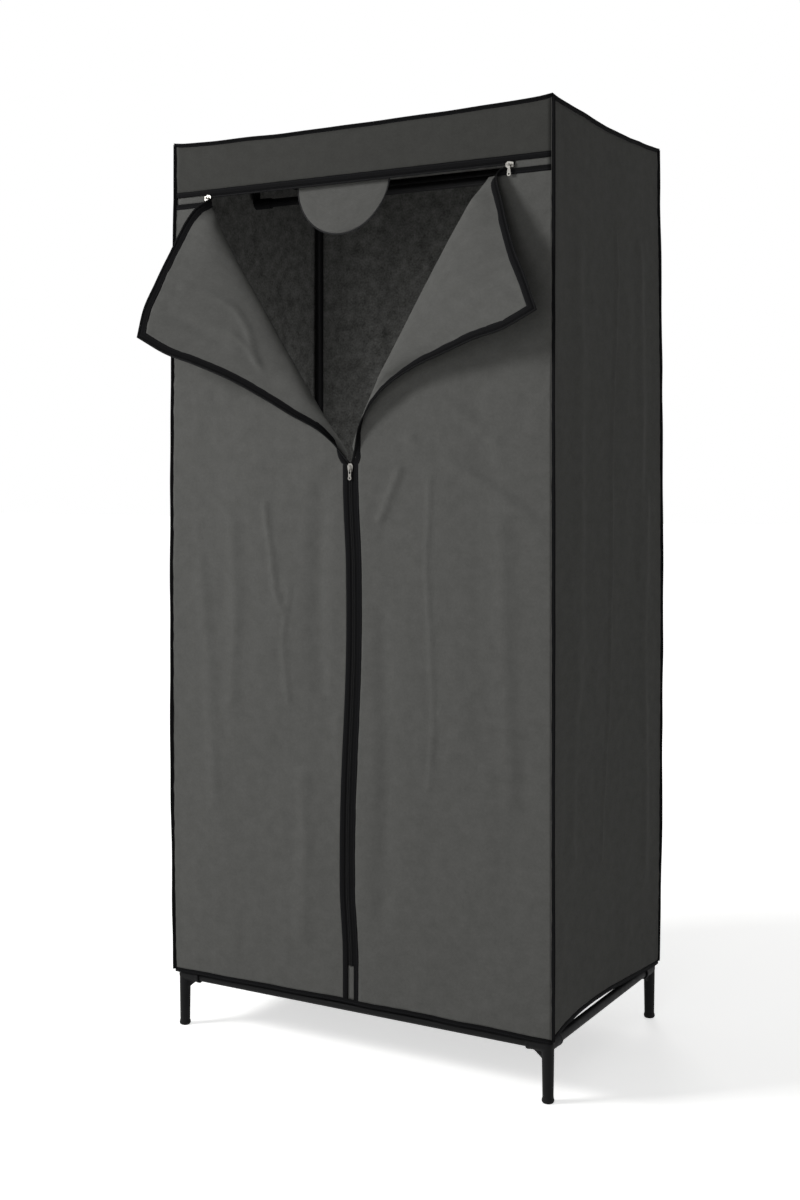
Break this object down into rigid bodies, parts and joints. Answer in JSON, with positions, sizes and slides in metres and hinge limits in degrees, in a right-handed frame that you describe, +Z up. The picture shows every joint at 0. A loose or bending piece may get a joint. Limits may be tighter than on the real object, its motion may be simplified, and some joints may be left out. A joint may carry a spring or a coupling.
{
  "type": "portable fabric wardrobe",
  "caption": "Free-standing wardrobe with a push-fit steel tube frame, a zipped non-woven fabric cover whose front corners fold outwards, and a garment rail.",
  "frame": {"origin": "on the floor, under the middle of the whole part's bounding box with the front corners folded out", "axes": "+Z up, +X to the right of someone facing the zipped front, the front faces -Y"},
  "size_m": [0.779, 0.5666, 1.6],
  "materials": {
    "fabric": "matte bonded non-woven cloth, charcoal grey",
    "tape": "black woven seam tape and zip tape",
    "steel": "black powder coat",
    "plastic": "black moulded plastic",
    "zinc": "nickel-plated die casting"
  },
  "bodies": {
    "wardrobe_body": {"base_corner_front_left": "plastic", "base_corner_front_right": "plastic", "base_corner_back_left": "plastic", "base_corner_back_right": "plastic", "top_corner_front_left": "plastic", "top_corner_front_right": "plastic", "top_corner_back_left": "plastic", "top_corner_back_right": "plastic", "hanger_bracket_left": "plastic", "hanger_bracket_right": "plastic", "lower_post_front_left": "steel", "lower_post_front_right": "steel", "lower_post_back_left": "steel", "lower_post_back_right": "steel", "upper_post_front_left": "steel", "upper_post_front_right": "steel", "upper_post_back_left": "steel", "upper_post_back_right": "steel", "base_rail_front": "steel", "base_rail_back": "steel", "base_rail_left": "steel", "base_rail_right": "steel", "top_rail_front": "steel", "top_rail_back": "steel", "top_rail_left": "steel", "top_rail_right": "steel", "hanging_rail": "steel", "cover_top": "fabric", "cover_back": "fabric", "cover_left": "fabric", "cover_right": "fabric", "front_left_panel": "fabric", "front_right_panel": "fabric", "header_band": "fabric", "bottom_patch": "fabric", "left_end_patch": "fabric", "right_end_patch": "fabric", "top_edge_binding": "tape", "hem_binding": "tape", "corner_binding_front_left": "tape", "corner_binding_front_right": "tape", "corner_binding_back_left": "tape", "corner_binding_back_right": "tape", "left_panel_tape": "tape", "right_panel_tape": "tape", "header_tape": "tape", "centre_tape_left": "tape", "centre_tape_right": "tape"},
    "left_flap": {"front_left_flap": "fabric", "left_flap_tape": "tape"},
    "right_flap": {"front_right_flap": "fabric", "right_flap_tape": "tape"},
    "half_round": {"half_round_flap": "fabric"},
    "centre_slider_body": {"centre_slider": "zinc"},
    "centre_pull_body": {"centre_pull": "zinc"},
    "left_slider_body": {"left_slider": "zinc"},
    "left_pull_body": {"left_pull": "zinc"},
    "right_slider_body": {"right_slider": "zinc"},
    "right_pull_body": {"right_pull": "zinc"}
  },
  "joints": [
    {"name": "left_flap_fold", "type": "hinge", "parent": "wardrobe_body", "child": "left_flap", "pos_m": [-0.27395, -0.19522, 1.497], "axis": [-0.5142, 0, 0.8577], "range_deg": [0, 158.5]},
    {"name": "right_flap_fold", "type": "hinge", "parent": "wardrobe_body", "child": "right_flap", "pos_m": [0.28005, -0.19522, 1.497], "axis": [-0.5267, 0, -0.85], "range_deg": [0, 159.2]},
    {"name": "half_round_swing", "type": "hinge", "parent": "wardrobe_body", "child": "half_round", "pos_m": [-0.01395, -0.19412, 1.5205], "axis": [1, 0, 0], "range_deg": [0, 75]},
    {"name": "centre_zip_slide", "type": "slide", "parent": "wardrobe_body", "child": "centre_slider_body", "axis": [0, 0, 1], "range_m": [-0.837, 0.472]},
    {"name": "centre_pull_swing", "type": "hinge", "parent": "centre_slider_body", "child": "centre_pull_body", "pos_m": [0.00305, -0.19862, 1.0095], "axis": [-1, 0, 0], "range_deg": [-5, 150]},
    {"name": "left_zip_slide", "type": "slide", "parent": "wardrobe_body", "child": "left_slider_body", "axis": [1, 0, 0], "range_m": [0, 0.292]},
    {"name": "left_pull_swing", "type": "hinge", "parent": "left_slider_body", "child": "left_pull_body", "pos_m": [-0.29735, -0.20032, 1.497], "axis": [-1, 0, 0], "range_deg": [-5, 150]},
    {"name": "right_zip_slide", "type": "slide", "parent": "wardrobe_body", "child": "right_slider_body", "axis": [-1, 0, 0], "range_m": [0, 0.292]},
    {"name": "right_pull_swing", "type": "hinge", "parent": "right_slider_body", "child": "right_pull_body", "pos_m": [0.30345, -0.20032, 1.497], "axis": [-1, 0, 0], "range_deg": [-5, 150]}
  ]
}
